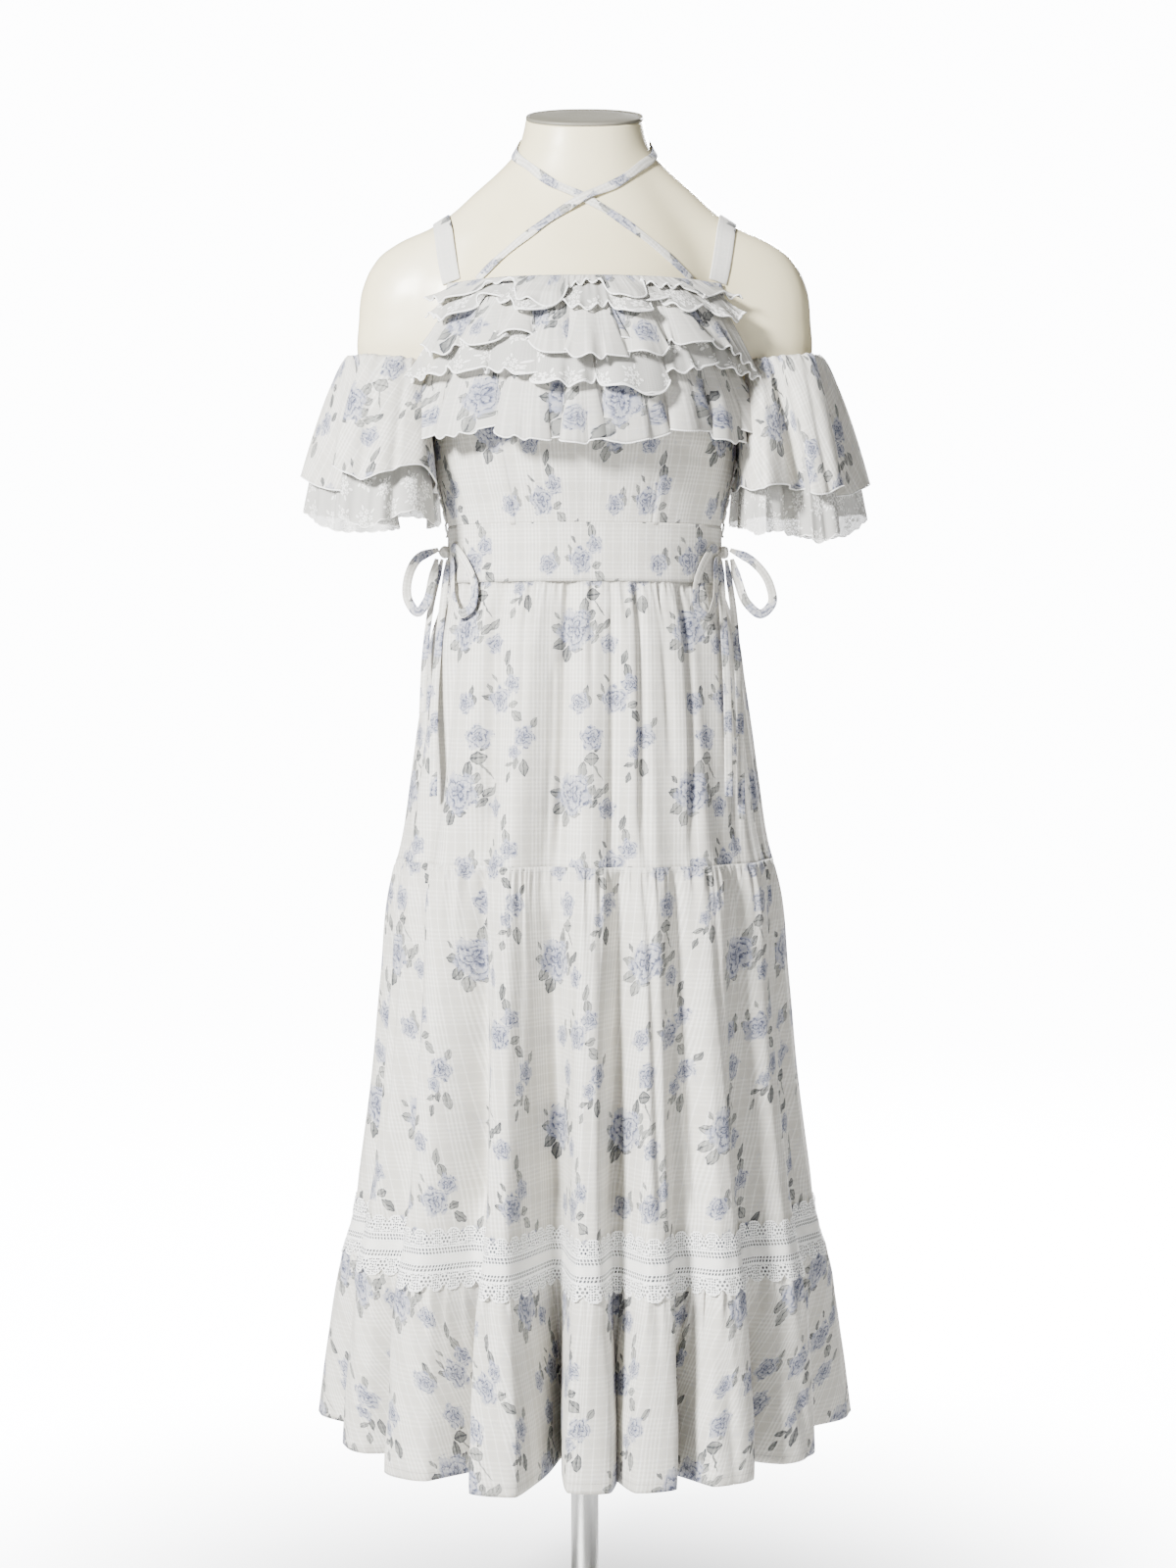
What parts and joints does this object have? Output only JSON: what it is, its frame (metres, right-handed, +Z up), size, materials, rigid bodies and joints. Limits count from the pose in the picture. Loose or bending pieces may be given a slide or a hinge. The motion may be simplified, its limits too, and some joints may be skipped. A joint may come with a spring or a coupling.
{
  "type": "maxi dress on a limbless dress form with a stand",
  "caption": "Long tiered cotton dress with bust ruffles, shoulder straps, crossed neck ties and flounced off-shoulder sleeves, shown on a limbless dress form with a pole and a round base.",
  "frame": {"origin": "centre of the underside of the round base, on the floor", "axes": "+Z up along the pole, +X to the right as seen from the front, the front of the dress faces -Y"},
  "size_m": [0.52, 0.4941, 1.4259],
  "materials": {
    "print_cotton": "matt woven cotton with a raised check and a flower print",
    "white_tulle": "sheer net with white embroidery",
    "white_lace": "white cotton lace",
    "form_shell": "smooth satin gloss",
    "form_cap": "matt",
    "stand_steel": "brushed"
  },
  "bodies": {
    "root": {"bodice_front": "print_cotton", "bodice_back": "print_cotton", "waistband_front": "print_cotton", "waistband_back": "print_cotton", "skirt_tier1_front": "print_cotton", "skirt_tier1_back": "print_cotton", "skirt_tier2_front": "print_cotton", "skirt_tier2_back": "print_cotton", "flounce_front": "print_cotton", "flounce_back": "print_cotton", "lace_band_front": "white_lace", "lace_band_back": "white_lace", "ruffle_1": "print_cotton", "ruffle_3": "print_cotton", "ruffle_5": "print_cotton", "ruffle_2": "white_tulle", "ruffle_4": "white_tulle", "sleeve_left": "print_cotton", "sleeve_lace_left": "white_tulle", "strap_left": "print_cotton", "neck_tie_left": "print_cotton", "neck_tail_left": "print_cotton", "side_lace_left": "print_cotton", "side_loops_left_front": "print_cotton", "side_loops_left_back": "print_cotton", "bow_left_knot": "print_cotton", "bow_left_outer_loop": "print_cotton", "bow_left_front_loop": "print_cotton", "bow_left_tail_1": "print_cotton", "bow_left_tail_2": "print_cotton", "sleeve_right": "print_cotton", "sleeve_lace_right": "white_tulle", "strap_right": "print_cotton", "neck_tie_right": "print_cotton", "neck_tail_right": "print_cotton", "side_lace_right": "print_cotton", "side_loops_right_front": "print_cotton", "side_loops_right_back": "print_cotton", "bow_right_knot": "print_cotton", "bow_right_outer_loop": "print_cotton", "bow_right_front_loop": "print_cotton", "bow_right_tail_1": "print_cotton", "bow_right_tail_2": "print_cotton", "neck_knot": "print_cotton", "form_torso": "form_shell", "form_neck_cap": "form_cap", "form_pole": "stand_steel", "form_base": "stand_steel"}
  },
  "joints": []
}
